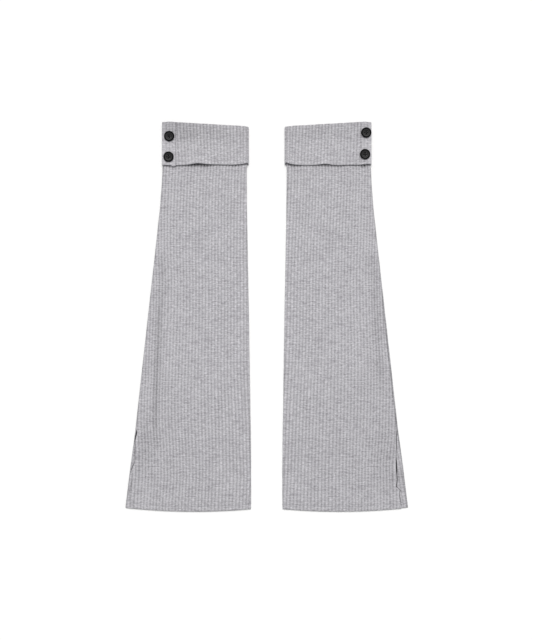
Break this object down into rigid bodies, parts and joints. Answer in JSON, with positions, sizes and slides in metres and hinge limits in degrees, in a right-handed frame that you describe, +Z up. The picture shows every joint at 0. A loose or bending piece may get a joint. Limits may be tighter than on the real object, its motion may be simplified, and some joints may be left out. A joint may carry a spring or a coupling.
{
  "type": "pair of leg warmers",
  "caption": "Pair of flared rib-knit leg warmers laid flat, with turned-down cuffs, a button placket on each and a slit at each outer hem.",
  "frame": {"origin": "middle of the pair's outline on the surface that it lies on", "axes": "+Y along the legs towards the cuffs, +X from the left leg warmer to the right one, +Z up"},
  "size_m": [0.3622, 0.5003, 0.0112],
  "materials": {
    "rib_knit": "heather grey rib knit, matt and slightly hairy",
    "button_plastic": "black polyester, satin"
  },
  "bodies": {
    "root": {"left_leg": "rib_knit", "left_cuff": "rib_knit", "left_placket": "rib_knit", "left_button_upper": "button_plastic", "left_button_lower": "button_plastic", "right_leg": "rib_knit", "right_cuff": "rib_knit", "right_placket": "rib_knit", "right_button_upper": "button_plastic", "right_button_lower": "button_plastic"}
  },
  "joints": []
}
